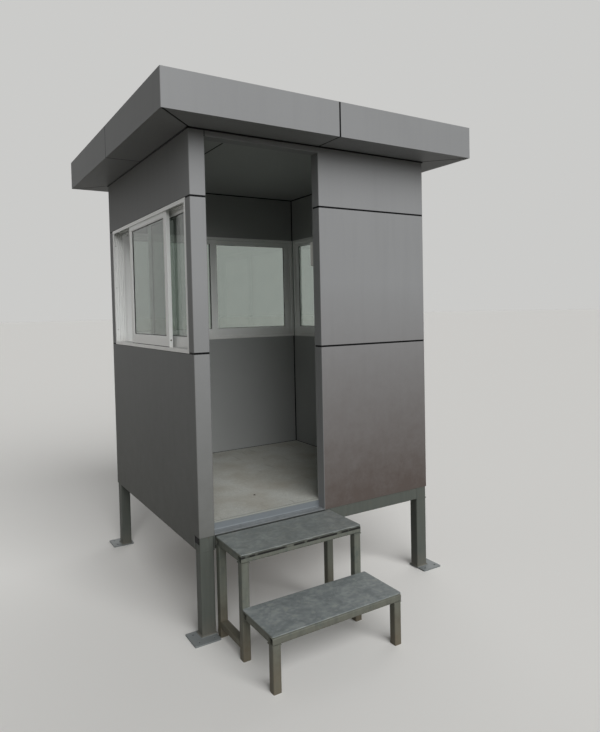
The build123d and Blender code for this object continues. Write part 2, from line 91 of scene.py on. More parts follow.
# Brushed alkyd paint: satin, with lap marks along the tube, thin rust at the
# scratches and dried mud on the lowest ten centimetres
paint, where = new_finish("brushed_grey_alkyd_paint")
stretch = add_node(paint, "Mapping", {"Scale": (1, 1, 0.08)}, {"Vector": where})
laps = add_node(
    paint, "TexNoise", {"Scale": 1000 / 14, "Detail": 3}, {"Vector": stretch.outputs[0]}
)
tone = add_node(
    paint,
    "Mix",
    {"data_type": "RGBA", 6: rgba("#4a4e4a"), 7: rgba("#5a5e58")},
    {0: laps.outputs[0]},
)
specks = add_node(
    paint, "TexNoise", {"Scale": 1000 / 22, "Detail": 6, "Roughness": 0.7}, {"Vector": where}
)
rust_at = add_node(
    paint, "MapRange", {"From Min": 0.62, "From Max": 0.72}, {"Value": specks.outputs[0]}
)
rusted = add_node(
    paint,
    "Mix",
    {"data_type": "RGBA", 7: rgba("#5d4535")},
    {0: rust_at.outputs[0], 6: tone.outputs[2]},
)
height = add_node(paint, "SeparateXYZ", links={0: where})
low_down = add_node(
    paint,
    "MapRange",
    {"From Min": 0.004, "From Max": 0.11, "To Min": 0.5, "To Max": 0.0},
    {"Value": height.outputs["Z"]},
)
splash = add_node(
    paint, "Math", {"operation": "MULTIPLY"}, {0: low_down.outputs[0], 1: specks.outputs[0]}
)
muddy = add_node(
    paint,
    "Mix",
    {"data_type": "RGBA", 7: rgba("#7f756a")},
    {0: splash.outputs[0], 6: rusted.outputs[2]},
)
# The ground plates are trodden on, so the paint there is rubbed thin and dusty
trodden = add_node(
    paint,
    "MapRange",
    {"From Min": 0.0105, "From Max": 0.0085, "To Max": 0.75},
    {"Value": height.outputs["Z"]},
)
rubbed = add_node(
    paint,
    "Mix",
    {"data_type": "RGBA", 7: rgba("#868c8e")},
    {0: trodden.outputs[0], 6: muddy.outputs[2]},
)
dull = add_node(paint, "MapRange", {"To Min": 0.42, "To Max": 0.62}, {"Value": laps.outputs[0]})
relief = add_node(paint, "Bump", {"Strength": 0.5, "Distance": 0.0004}, {"Height": laps.outputs[0]})
skin = add_node(
    paint,
    "BsdfPrincipled",
    {"Specular IOR Level": 0.3},
    {"Base Color": rubbed.outputs[2], "Roughness": dull.outputs[0], "Normal": relief.outputs[0]},
)
add_node(paint, "OutputMaterial", links={"Surface": skin.outputs[0]})
dress(paint, "columns", "ground_plates")

PLATE_TOP = 0.008
FOOT_WELD = 0.007
BEAM_FOOT = 0.427
BEAM_WELD, BEAM_WELD_TALL = 0.0016, 0.005
# Name, middle and section of each column
COLUMNS = (
    ("front_left", (-0.7085, -0.716), (0.075, 0.060)),
    ("front_right", (0.7085, -0.716), (0.075, 0.060)),
    ("rear_left", (-0.716, 0.7085), (0.060, 0.075)),
    ("rear_right", (0.716, 0.7085), (0.060, 0.075)),
)


def weld_round(centre, size, leg, tall, taper, seed):
    """A rippled weld bead round an upright tube, from centre's height up, drawn in if it tapers."""
    wide, deep = size[0] + 2 * leg, size[1] + 2 * leg
    middle = centre[2] + tall / 2
    bpy.ops.mesh.primitive_cube_add(
        size=1, location=(centre[0], centre[1], middle), scale=(wide, deep, tall)
    )
    bpy.ops.object.transform_apply(location=True, rotation=True, scale=True)
    bead = bpy.context.object
    bpy.ops.object.mode_set(mode="EDIT")
    if taper:
        shell = bmesh.from_edit_mesh(bead.data)
        for vertex in shell.verts:
            vertex.select = vertex.co.z > middle
        shell.select_flush_mode()
        bmesh.update_edit_mesh(bead.data)
        bpy.ops.transform.resize(value=(size[0] / wide, size[1] / deep, 1))
    bpy.ops.mesh.select_all(action="SELECT")
    bpy.ops.mesh.subdivide(number_cuts=11)
    ripple = leg * (0.13 if taper else 0.25)
    bpy.ops.transform.vertex_random(offset=ripple, seed=seed)
    bpy.ops.object.mode_set(mode="OBJECT")
    bpy.ops.object.shade_smooth()
    return bead


# A fillet weld runs round the foot of each column, and a thinner one round the
# column where the floor beams meet it
for corner, (x, y), size in COLUMNS:
    weld_round((x, y, PLATE_TOP), size, FOOT_WELD, FOOT_WELD, taper=True, seed=7)
    fit(f"{corner}_foot_weld", paint)
    weld_round((x, y, BEAM_FOOT), size, BEAM_WELD, BEAM_WELD_TALL, taper=False, seed=5)
    fit(f"{corner}_beam_weld", paint)


# ---------------------------------------------------------------- floor frame
# Rectangular tube beams between the columns and three square joists, welded into
# a flat frame. Same steel and paint as the columns. The plywood deck lies on it.
dress(paint, "base_beams", "floor_joists")

# Plywood: rotary-cut face veneer, so broad wavy grain along the sheet
plywood, where = new_finish("plywood_face_veneer")
along = add_node(plywood, "Mapping", {"Scale": (1, 0.08, 1)}, {"Vector": where})
grain = add_node(
    plywood,
    "TexNoise",
    {"Scale": 1000 / 25, "Detail": 5, "Distortion": 1.5},
    {"Vector": along.outputs[0]},
)
veneer = add_node(
    plywood,
    "Mix",
    {"data_type": "RGBA", 6: rgba("#8f7350"), 7: rgba("#b99a6f")},
    {0: grain.outputs[0]},
)
pores = add_node(
    plywood, "Bump", {"Strength": 0.4, "Distance": 0.0003}, {"Height": grain.outputs[0]}
)
skin = add_node(
    plywood,
    "BsdfPrincipled",
    {"Roughness": 0.75},
    {"Base Color": veneer.outputs[2], "Normal": pores.outputs[0]},
)
add_node(plywood, "OutputMaterial", links={"Surface": skin.outputs[0]})
dress(plywood, "floor_deck")


# ---------------------------------------------------------------- floor covering
# One piece of light grey sheet vinyl, glued to the deck. It is scuffed and dusty
# from work boots, and its cut edge at the doorway is darkened with painted shade.
vinyl, where = new_finish("light_grey_sheet_vinyl")
chips = add_node(vinyl, "TexVoronoi", {"Scale": 1000 / 7}, {"Vector": where})
chip_tone = add_node(vinyl, "SeparateColor", links={0: chips.outputs["Color"]})
flecks = add_node(
    vinyl,
    "Mix",
    {"data_type": "RGBA", 6: rgba("#b3b4ae"), 7: rgba("#c3c4be")},
    {0: chip_tone.outputs[0]},
)
drift = add_node(
    vinyl, "TexNoise", {"Scale": 1000 / 260, "Detail": 6, "Roughness": 0.65}, {"Vector": where}
)
dust_at = add_node(
    vinyl,
    "MapRange",
    {"From Min": 0.38, "From Max": 0.7, "To Max": 0.75},
    {"Value": drift.outputs[0]},
)
dusty = add_node(
    vinyl,
    "Mix",
    {"data_type": "RGBA", 7: rgba("#a39d90")},
    {0: dust_at.outputs[0], 6: flecks.outputs[2]},
)
swirl = add_node(
    vinyl, "Mapping", {"Scale": (1, 0.15, 1), "Rotation": (0, 0, 0.6)}, {"Vector": where}
)
scuffs = add_node(
    vinyl, "TexNoise", {"Scale": 1000 / 30, "Detail": 2}, {"Vector": swirl.outputs[0]}
)
scuff_at = add_node(
    vinyl,
    "MapRange",
    {"From Min": 0.66, "From Max": 0.74, "To Max": 0.35},
    {"Value": scuffs.outputs[0]},
)
scuffed = add_node(
    vinyl,
    "Mix",
    {"data_type": "RGBA", 7: rgba("#7d7b75")},
    {0: scuff_at.outputs[0], 6: dusty.outputs[2]},
)
across = add_node(vinyl, "SeparateXYZ", links={0: where})
# Painted shade: the floor's front edge at the doorway is darkened
edge_shade_at = add_node(
    vinyl, "MapRange", {"From Min": -0.678, "From Max": -0.681}, {"Value": across.outputs["Y"]}
)
worn = add_node(
    vinyl,
    "Mix",
    {"data_type": "RGBA", 7: rgba("#8d8f89")},
    {0: edge_shade_at.outputs[0], 6: scuffed.outputs[2]},
)
sheen = add_node(vinyl, "MapRange", {"To Min": 0.34, "To Max": 0.6}, {"Value": drift.outputs[0]})
skin = add_node(
    vinyl,
    "BsdfPrincipled",
    {"IOR": 1.5},
    {"Base Color": worn.outputs[2], "Roughness": sheen.outputs[0]},
)
add_node(vinyl, "OutputMaterial", links={"Surface": skin.outputs[0]})
dress(vinyl, "floor_covering")

# Two screws with low heads hold the floor down near the doorway. The steel is
# zinc-plated, a thin bright coat that has tarnished in patches.
zinc, where = new_finish("zinc_plated_screw")
tarnish = add_node(zinc, "TexNoise", {"Scale": 1000 / 3, "Detail": 3}, {"Vector": where})
plating = add_node(
    zinc,
    "Mix",
    {"data_type": "RGBA", 6: rgba("#55534e"), 7: rgba("#8b8880")},
    {0: tarnish.outputs[0]},
)
skin = add_node(
    zinc, "BsdfPrincipled", {"Metallic": 0.8, "Roughness": 0.4}, {"Base Color": plating.outputs[2]}
)
add_node(zinc, "OutputMaterial", links={"Surface": skin.outputs[0]})


def screw_head(radius, spots, turn, name):
    """A low domed screw head with a round recess, copied to each spot and tipped over by turn."""
    bpy.ops.mesh.primitive_cylinder_add(vertices=16, radius=radius, depth=radius * 0.5)
    bpy.ops.object.mode_set(mode="EDIT")
    bpy.ops.mesh.select_mode(type="FACE")
    bpy.ops.mesh.select_all(action="DESELECT")
    shell = bmesh.from_edit_mesh(bpy.context.object.data)
    for face in shell.faces:
        face.select = face.normal.z > 0.5
    bmesh.update_edit_mesh(bpy.context.object.data)
    bpy.ops.mesh.inset(thickness=radius * 0.3)
    bpy.ops.transform.translate(value=(0, 0, radius * 0.22))
    bpy.ops.mesh.inset(thickness=radius * 0.38)
    bpy.ops.mesh.extrude_region_move(TRANSFORM_OT_translate={"value": (0, 0, -radius * 0.4)})
    bpy.ops.object.mode_set(mode="OBJECT")
    bpy.ops.object.shade_smooth_by_angle(angle=0.7)
    head = bpy.context.object
    head.data.transform(turn)
    for spot in spots[1:]:
        again = head.copy()
        again.data = head.data.copy()
        bpy.context.collection.objects.link(again)
        again.data.transform(Matrix.Translation(spot))
        again.select_set(True)
    head.data.transform(Matrix.Translation(spots[0]))
    if len(spots) > 1:
        bpy.ops.object.join()
    fit(name, zinc)


floor_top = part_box("floor_covering")[1].z
FLOOR_SCREW, FLOOR_SCREW_X, FLOOR_SCREW_Y = 0.0065, 0.274, -0.418
spots = [(x, FLOOR_SCREW_Y, floor_top) for x in (-FLOOR_SCREW_X, FLOOR_SCREW_X)]
screw_head(FLOOR_SCREW, spots, Matrix(), "floor_screws")


# ---------------------------------------------------------------- door sill
# One galvanised sheet, folded up against the deck, flat over the front beam and
# down over its face. The zinc is bluish, with shoe marks; the face, down in the gap
# to the step, and the upstand under the floor's edge are darkened with painted shade.
sill_zinc, where = new_finish("folded_galvanised_sheet")
spangle = add_node(
    sill_zinc,
    "TexVoronoi",
    {"Scale": 1000 / 14, "feature": "SMOOTH_F1", "Smoothness": 0.6},
    {"Vector": where},
)
crystal = add_node(sill_zinc, "SeparateColor", links={0: spangle.outputs["Color"]})
zinc_tone = add_node(
    sill_zinc,
    "Mix",
    {"data_type": "RGBA", 6: rgba("#8b9194"), 7: rgba("#a8adb0")},
    {0: crystal.outputs[0]},
)
scrape = add_node(sill_zinc, "Mapping", {"Scale": (0.12, 1, 1)}, {"Vector": where})
marks = add_node(
    sill_zinc, "TexNoise", {"Scale": 1000 / 18, "Detail": 5}, {"Vector": scrape.outputs[0]}
)
marked = add_node(
    sill_zinc,
    "Mix",
    {"data_type": "RGBA", 7: rgba("#6f7274")},
    {0: marks.outputs[0], 6: zinc_tone.outputs[2]},
)
level = add_node(sill_zinc, "SeparateXYZ", links={0: where})
# Painted shade: the lip's face, down in the shaded gap to the step, is made nearly black
shaded_lip_face = add_node(
    sill_zinc, "MapRange", {"From Min": -0.7475, "From Max": -0.7492}, {"Value": level.outputs["Y"]}
)
rubbed = add_node(
    sill_zinc,
    "Mix",
    {"data_type": "RGBA", 7: rgba("#303231")},
    {0: shaded_lip_face.outputs[0], 6: marked.outputs[2]},
)
# Painted shade: the upstand under the floor's edge is darker than the ledge
upstand = add_node(
    sill_zinc, "MapRange", {"From Min": 0.5041, "From Max": 0.5044}, {"Value": level.outputs["Z"]}
)
shaded = add_node(
    sill_zinc,
    "Mix",
    {"data_type": "RGBA", 7: rgba("#71777b")},
    {0: upstand.outputs[0], 6: rubbed.outputs[2]},
)
matt = add_node(
    sill_zinc, "MapRange", {"To Min": 0.32, "To Max": 0.55}, {"Value": marks.outputs[0]}
)
skin = add_node(
    sill_zinc,
    "BsdfPrincipled",
    {"Metallic": 0.15},
    {"Base Color": shaded.outputs[2], "Roughness": matt.outputs[0]},
)
add_node(sill_zinc, "OutputMaterial", links={"Surface": skin.outputs[0]})
dress(sill_zinc, "door_sill")


# ---------------------------------------------------------------- wall cladding
# Folded cassettes and flat sheets of 4 mm aluminium composite over the frame.
# The coil-coated silver finish is satin with a fine flake, darker lower down,
# partly from rain-splash grime and partly as painted shade, and the sheets are
# never quite flat.
silver, where = new_finish("silver_coil_coated_composite")
cloud = add_node(silver, "TexNoise", {"Scale": 1000 / 700, "Detail": 2}, {"Vector": where})
tone = add_node(
    silver,
    "Mix",
    {"data_type": "RGBA", 6: rgba("#8d8e8f"), 7: rgba("#969798")},
    {0: cloud.outputs[0]},
)
# The flake itself is under 0.1 mm. It is drawn at 2.5 mm, so that it just shows.
flake = add_node(silver, "TexNoise", {"Scale": 1000 / 2.5, "Detail": 1}, {"Vector": where})
flake_tone = add_node(
    silver,
    "MapRange",
    {"From Min": 0.3, "From Max": 0.7, "To Max": 0.16},
    {"Value": flake.outputs[0]},
)
flaked = add_node(
    silver,
    "Mix",
    {"data_type": "RGBA", 7: rgba("#a6a8aa")},
    {0: flake_tone.outputs[0], 6: tone.outputs[2]},
)
runs = add_node(silver, "Mapping", {"Scale": (1, 1, 0.06)}, {"Vector": where})
streak = add_node(
    silver, "TexNoise", {"Scale": 1000 / 45, "Detail": 4}, {"Vector": runs.outputs[0]}
)
streak_at = add_node(
    silver,
    "MapRange",
    {"From Min": 0.5, "From Max": 0.8, "To Max": 0.11},
    {"Value": streak.outputs[0]},
)
streaked = add_node(
    silver,
    "Mix",
    {"data_type": "RGBA", 7: rgba("#77787a")},
    {0: streak_at.outputs[0], 6: flaked.outputs[2]},
)
height = add_node(silver, "SeparateXYZ", links={0: where})
low_down = add_node(
    silver,
    "MapRange",
    {"From Min": 0.43, "From Max": 1.75, "To Min": 1.9, "To Max": 0.0},
    {"Value": height.outputs["Z"]},
)
grime = add_node(
    silver, "TexNoise", {"Scale": 1000 / 60, "Detail": 6, "Roughness": 0.7}, {"Vector": where}
)
even = add_node(
    silver,
    "MapRange",
    {"From Min": 0.3, "From Max": 0.7, "To Min": 0.45, "To Max": 0.53},
    {"Value": grime.outputs[0]},
)
# The front panels get most of the brown darkening, grime and painted shade, and the left side a
# greyer film
facing = add_node(
    silver, "MapRange", {"From Min": -0.68, "From Max": -0.02}, {"Value": height.outputs["X"]}
)
share = add_node(silver, "MapRange", {"To Min": 0.85, "To Max": 1.15}, {"Value": facing.outputs[0]})
splash = add_node(
    silver, "Math", {"operation": "MULTIPLY"}, {0: even.outputs[0], 1: share.outputs[0]}
)
# The return of the sheets beside the doorway is out of the rain and stays clean
turned = add_node(silver, "SeparateXYZ", links={0: where.node.outputs["Normal"]})
returned = add_node(
    silver,
    "MapRange",
    {"From Min": -0.4, "From Max": -0.8, "To Max": 0.9},
    {"Value": turned.outputs["X"]},
)
inside = add_node(silver, "Math", {"operation": "GREATER_THAN", 1: -0.5}, {0: height.outputs["X"]})
sheltered = add_node(
    silver, "Math", {"operation": "MULTIPLY"}, {0: returned.outputs[0], 1: inside.outputs[0]}
)
exposed = add_node(silver, "Math", {"operation": "SUBTRACT", 0: 1.0}, {1: sheltered.outputs[0]})
rained = add_node(
    silver, "Math", {"operation": "MULTIPLY"}, {0: low_down.outputs[0], 1: exposed.outputs[0]}
)
# Painted shade mixed with grime: how much the walls darken towards the bottom
grime_and_shade_at = add_node(
    silver, "Math", {"operation": "MULTIPLY"}, {0: rained.outputs[0], 1: splash.outputs[0]}
)
film = add_node(
    silver,
    "Mix",
    {"data_type": "RGBA", 6: rgba("#5f605b"), 7: rgba("#5d5551")},
    {0: facing.outputs[0]},
)
grimy_and_shaded = add_node(
    silver,
    "Mix",
    {"data_type": "RGBA"},
    {0: grime_and_shade_at.outputs[0], 6: streaked.outputs[2], 7: film.outputs[2]},
)
dull = add_node(silver, "MapRange", {"To Min": 0.48, "To Max": 0.62}, {"Value": cloud.outputs[0]})
bow = add_node(silver, "TexNoise", {"Scale": 1000 / 420, "Detail": 0}, {"Vector": where})
flatness = add_node(
    silver, "Bump", {"Strength": 1.0, "Distance": 0.003}, {"Height": bow.outputs[0]}
)
grit = add_node(
    silver,
    "Bump",
    {"Strength": 0.12, "Distance": 0.0003},
    {"Height": flake.outputs[0], "Normal": flatness.outputs[0]},
)
skin = add_node(
    silver,
    "BsdfPrincipled",
    {"Metallic": 0.1, "Specular IOR Level": 0.06},
    {"Base Color": grimy_and_shaded.outputs[2], "Roughness": dull.outputs[0], "Normal": grit.outputs[0]},
)
add_node(silver, "OutputMaterial", links={"Surface": skin.outputs[0]})
dress(silver, "front_post_cladding", "front_lower_panel", "front_middle_panel", "front_upper_panel")
dress(silver, "left_lower_panel", "left_upper_panel", "right_lower_panel", "right_upper_panel")
dress(silver, "back_lower_panel", "back_upper_panel", "rear_corner_cladding")

# Black silicone in the joints between the sheets, pulled smooth with a tool, so
# it has a soft shine and a few ripples
silicone, where = new_finish("black_silicone")
ripple = add_node(silicone, "TexNoise", {"Scale": 1000 / 12, "Detail": 2}, {"Vector": where})
tooling = add_node(
    silicone, "Bump", {"Strength": 0.5, "Distance": 0.0008}, {"Height": ripple.outputs[0]}
)
lint = add_node(
    silicone,
    "Mix",
    {"data_type": "RGBA", 6: rgba("#08080a"), 7: rgba("#131314")},
    {0: ripple.outputs[0]},
)
skin = add_node(
    silicone,
    "BsdfPrincipled",
    {"Roughness": 0.45, "IOR": 1.41, "Specular IOR Level": 0.08},
    {"Base Color": lint.outputs[2], "Normal": tooling.outputs[0]},
)
add_node(silicone, "OutputMaterial", links={"Surface": skin.outputs[0]})
dress(silicone, "joint_seals")


# Rings about 20 mm apart along every bead, moved by up to a twentieth of its size
RING_EVERY, RIPPLE = 0.02, 0.05


def bead_run(start, end, size):
    """A run of sealant or weld metal from start to end: a round bead, slightly uneven."""
    start, end = Vector(start), Vector(end)
    length = (end - start).length
    bpy.ops.mesh.primitive_cylinder_add(vertices=8, radius=size / 2, depth=length)
    bpy.ops.object.mode_set(mode="EDIT")
    bpy.ops.mesh.select_all(action="SELECT")
    bpy.ops.mesh.bisect(plane_co=(0, 0, 0), plane_no=(0, 0, 1))
    bpy.ops.mesh.select_mode(type="EDGE")
    bpy.ops.mesh.select_all(action="DESELECT")
    shell = bmesh.from_edit_mesh(bpy.context.object.data)
    for edge in shell.edges:
        edge.select = abs((edge.verts[0].co - edge.verts[1].co).z) > length / 4
    bmesh.update_edit_mesh(bpy.context.object.data)
    bpy.ops.mesh.subdivide(number_cuts=int(length / 2 / RING_EVERY) + 1)
    bpy.ops.mesh.select_all(action="SELECT")
    bpy.ops.transform.vertex_random(offset=size * RIPPLE, seed=3)
    bpy.ops.object.mode_set(mode="OBJECT")
    bpy.ops.object.shade_smooth()
    bead = bpy.context.object
    bead.data.transform((end - start).to_track_quat("Z", "Y").to_matrix().to_4x4())
    bead.data.transform(Matrix.Translation((start + end) / 2))
    return bead


def join_beads(beads, name, finish):
    """Joins runs of sealant or weld metal into one piece."""
    for bead in beads:
        bead.select_set(True)
    bpy.context.view_layer.objects.active = beads[0]
    bpy.ops.object.join()
    fit(name, finish)


body_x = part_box("front_upper_panel")[1].x
body_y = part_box("back_upper_panel")[1].y
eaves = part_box("left_upper_panel")[1].z
# Round the top of the walls, under the soffit, and down the edge of the post
# where the strip over the doorway meets it
EAVES_BEAD, BEAD_OUT, BEAD_DOWN = 0.009, 0.0015, 0.003
POST_BEAD, POST_EDGE, FRONT_FACE, STRIP_FOOT = 0.0035, -0.6672, -0.7495, 2.455
top_x, top_y, top_z = body_x + BEAD_OUT, body_y + BEAD_OUT, eaves - BEAD_DOWN
beads = [
    bead_run(start, end, EAVES_BEAD)
    for start, end in (
        ((-top_x, -top_y, top_z), (top_x, -top_y, top_z)),
        ((-top_x, top_y, top_z), (top_x, top_y, top_z)),
        ((-top_x, -top_y, top_z), (-top_x, top_y, top_z)),
        ((top_x, -top_y, top_z), (top_x, top_y, top_z)),
    )
]
post = (POST_EDGE, FRONT_FACE, STRIP_FOOT), (POST_EDGE, FRONT_FACE, top_z)
beads.append(bead_run(*post, POST_BEAD))
join_beads(beads, "eaves_sealant", silicone)

# A thin black patch in the silicone finish on the column's side, under the fold of the left post:
# painted shade for the dark notch there
SHADE_PATCH_AT, SHADE_PATCH_SIZE, SHADE_PATCH_RIPPLE = (-0.7467, -0.712, 0.4805), (0.0014, 0.056, 0.032), 0.0006
bpy.ops.mesh.primitive_cube_add(size=1, location=SHADE_PATCH_AT, scale=SHADE_PATCH_SIZE)
bpy.ops.object.transform_apply(location=True, rotation=True, scale=True)
bpy.ops.object.mode_set(mode="EDIT")
bpy.ops.mesh.select_all(action="SELECT")
bpy.ops.mesh.subdivide(number_cuts=9)
bpy.ops.transform.vertex_random(offset=SHADE_PATCH_RIPPLE, seed=4)
bpy.ops.object.mode_set(mode="OBJECT")
bpy.ops.object.shade_smooth()
fit("post_fold_shade_patch", silicone)


# ---------------------------------------------------------------- wall frame
# Square tubes under and over the windows, the door post and the rail over the
# doorway, welded between the columns. They are covered by the cladding.
dress(paint, "window_rails", "door_frame_rails")

# Foam boards pushed in between the tubes: extruded polystyrene, so a pale skin
# with a fine closed cell
foam, where = new_finish("extruded_foam_board")
cells = add_node(foam, "TexVoronoi", {"Scale": 1000 / 3}, {"Vector": where})
cell_tone = add_node(
    foam,
    "Mix",
    {"data_type": "RGBA", 6: rgba("#dcdcd6"), 7: rgba("#efefea")},
    {0: cells.outputs[0]},
)
cell_relief = add_node(
    foam, "Bump", {"Strength": 0.3, "Distance": 0.0003}, {"Height": cells.outputs[0]}
)
skin = add_node(
    foam,
    "BsdfPrincipled",
    {"Roughness": 0.85},
    {"Base Color": cell_tone.outputs[2], "Normal": cell_relief.outputs[0]},
)
add_node(foam, "OutputMaterial", links={"Surface": skin.outputs[0]})
dress(foam, "wall_cores")


# ---------------------------------------------------------------- room linings
# The inner faces are the same kind of composite sheet in a plainer mid grey,
# fixed to the frame, with black silicone in the corners and along the floor,
# where its black also stands in as painted shade for the shadow line at the wall foot.
lining, where = new_finish("grey_lining_composite")
cloud = add_node(lining, "TexNoise", {"Scale": 1000 / 500, "Detail": 3}, {"Vector": where})
tone = add_node(
    lining,
    "Mix",
    {"data_type": "RGBA", 6: rgba("#949695"), 7: rgba("#9fa1a0")},
    {0: cloud.outputs[0]},
)
rubs = add_node(
    lining, "Mapping", {"Scale": (1, 1, 0.2), "Rotation": (0.3, 0.2, 0)}, {"Vector": where}
)
rub = add_node(lining, "TexNoise", {"Scale": 1000 / 35, "Detail": 4}, {"Vector": rubs.outputs[0]})
rub_at = add_node(
    lining,
    "MapRange",
    {"From Min": 0.62, "From Max": 0.75, "To Max": 0.3},
    {"Value": rub.outputs[0]},
)
rubbed = add_node(
    lining,
    "Mix",
    {"data_type": "RGBA", 7: rgba("#9b9c9a")},
    {0: rub_at.outputs[0], 6: tone.outputs[2]},
)
grain = add_node(lining, "TexNoise", {"Scale": 1000 / 2.5, "Detail": 1}, {"Vector": where})
grit = add_node(
    lining, "Bump", {"Strength": 0.15, "Distance": 0.0003}, {"Height": grain.outputs[0]}
)
skin = add_node(
    lining,
    "BsdfPrincipled",
    {"Metallic": 0.1, "Roughness": 0.5, "Specular IOR Level": 0.3},
    {"Base Color": rubbed.outputs[2], "Normal": grit.outputs[0]},
)
add_node(lining, "OutputMaterial", links={"Surface": skin.outputs[0]})
dress(lining, "wall_linings", "front_lining", "ceiling_panel")

# ROOM is how far the beads lie from the room's middle on each side. Those up the
# back corners leave out the back window.
ROOM = 0.6815
SILL_Z, LINTEL_Z = 1.402, 2.167
CORNER_BEAD, FLOOR_BEAD = 0.011, 0.005
ceiling_z = eaves - BEAD_OUT
beads = []
for x in (-ROOM, ROOM):
    beads.append(bead_run((x, -ROOM, ceiling_z), (x, ROOM, ceiling_z), CORNER_BEAD))
    beads.append(bead_run((-ROOM, x, ceiling_z), (ROOM, x, ceiling_z), CORNER_BEAD))
    for low, high in ((floor_top, SILL_Z), (LINTEL_Z, ceiling_z)):
        beads.append(bead_run((x, ROOM, low), (x, ROOM, high), CORNER_BEAD))
    beads.append(bead_run((x, -ROOM, floor_top), (x, -ROOM, ceiling_z), CORNER_BEAD))
    # The beads along the floor are black sealant that also draws the shadow line at the wall foot
    # as painted shade
    beads.append(bead_run((x, -ROOM, floor_top), (x, ROOM, floor_top), FLOOR_BEAD))
beads.append(bead_run((-ROOM, ROOM, floor_top), (ROOM, ROOM, floor_top), FLOOR_BEAD))
join_beads(beads, "room_sealant_and_shadow_line", silicone)


# ---------------------------------------------------------------- roof frame
# A ring beam on the columns, struts out to two eaves tubes, uprights and two
# purlins: welded square tube, closed in by the soffit, the fascia and the sheet.
dress(paint, "ring_beam", "eaves_frame", "roof_struts")


# ---------------------------------------------------------------- soffit and fascia
# Flat sheets under the overhang and four deep folded cassettes round its edge,
# in the same silver composite as the walls.
dress(silver, "soffit_panels", "fascia_panels")


# ---------------------------------------------------------------- roof sheet
# A galvanised sheet laid between the turned-in lips of the fascia, screwed down
# to the purlins and along its sides. Rain has left it dull and stained.
roof_zinc, where = new_finish("weathered_galvanised_roof_sheet")
spangle = add_node(
    roof_zinc,
    "TexVoronoi",
    {"Scale": 1000 / 18, "feature": "SMOOTH_F1", "Smoothness": 0.5},
    {"Vector": where},
)
crystal = add_node(roof_zinc, "SeparateColor", links={0: spangle.outputs["Color"]})
zinc_tone = add_node(
    roof_zinc,
    "Mix",
    {"data_type": "RGBA", 6: rgba("#828a8d"), 7: rgba("#a0a7a9")},
    {0: crystal.outputs[0]},
)
ponds = add_node(
    roof_zinc, "TexNoise", {"Scale": 1000 / 320, "Detail": 6, "Roughness": 0.6}, {"Vector": where}
)
pond_at = add_node(
    roof_zinc,
    "MapRange",
    {"From Min": 0.45, "From Max": 0.62, "To Max": 0.6},
    {"Value": ponds.outputs[0]},
)
stained = add_node(
    roof_zinc,
    "Mix",
    {"data_type": "RGBA", 7: rgba("#7b766c")},
    {0: pond_at.outputs[0], 6: zinc_tone.outputs[2]},
)
matt = add_node(roof_zinc, "MapRange", {"To Min": 0.35, "To Max": 0.7}, {"Value": ponds.outputs[0]})
skin = add_node(
    roof_zinc,
    "BsdfPrincipled",
    {"Metallic": 0.5},
    {"Base Color": stained.outputs[2], "Roughness": matt.outputs[0]},
)
add_node(roof_zinc, "OutputMaterial", links={"Surface": skin.outputs[0]})
dress(roof_zinc, "roof_sheet")

# Seven low screws in each purlin and five along each side
ROOF_SCREW, ROOF_SCREW_FLAT, ROOF_SCREW_SUNK = 0.0035, 0.35, 0.001
ROOF_ROWS = (
    (0.375, (-0.84, -0.56, -0.28, 0.0, 0.28, 0.56, 0.84)),
    (0.905, (-0.84, -0.42, 0.0, 0.42, 0.84)),
)
screw_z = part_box("roof_sheet")[1].z - ROOF_SCREW_SUNK
spots = [(x, y, screw_z) for out, along in ROOF_ROWS for x in (-out, out) for y in along]
flattened = Matrix.Scale(ROOF_SCREW_FLAT, 4, (0, 0, 1))
screw_head(ROOF_SCREW, spots, flattened, "roof_screws")


# ---------------------------------------------------------------- sliding windows
# Each window is a two-track frame with two sliding sashes, in white powder-coated
# aluminium extrusions. The panes sit in the sashes on black rubber gaskets behind
# snap-in beads, and a crescent catch locks the side windows.
white, where = new_finish("white_powder_coated_aluminium")
cloud = add_node(white, "TexNoise", {"Scale": 1000 / 90, "Detail": 5}, {"Vector": where})
tone = add_node(
    white,
    "Mix",
    {"data_type": "RGBA", 6: rgba("#ebedec"), 7: rgba("#f3f4f2")},
    {0: cloud.outputs[0]},
)
height = add_node(white, "SeparateXYZ", links={0: where})
ledge = add_node(
    white,
    "MapRange",
    {"From Min": 1.404, "From Max": 1.47, "To Min": 0.5, "To Max": 0.0},
    {"Value": height.outputs["Z"]},
)
dust_at = add_node(
    white, "Math", {"operation": "MULTIPLY"}, {0: ledge.outputs[0], 1: cloud.outputs[0]}
)
dusty = add_node(
    white,
    "Mix",
    {"data_type": "RGBA", 7: rgba("#9c968b")},
    {0: dust_at.outputs[0], 6: tone.outputs[2]},
)
# Powder coat flows out with an orange peel of about 1.5 mm
peel = add_node(white, "TexNoise", {"Scale": 1000 / 1.5, "Detail": 1}, {"Vector": where})
peeled = add_node(white, "Bump", {"Strength": 0.1, "Distance": 0.0002}, {"Height": peel.outputs[0]})
skin = add_node(
    white,
    "BsdfPrincipled",
    {"Roughness": 0.34, "IOR": 1.5, "Coat Weight": 1.0, "Coat Roughness": 0.15},
    {"Base Color": dusty.outputs[2], "Normal": peeled.outputs[0]},
)
add_node(white, "OutputMaterial", links={"Surface": skin.outputs[0]})
for side in ("left", "right", "back"):
    dress(white, f"{side}_window_frame", f"{side}_window_sashes")

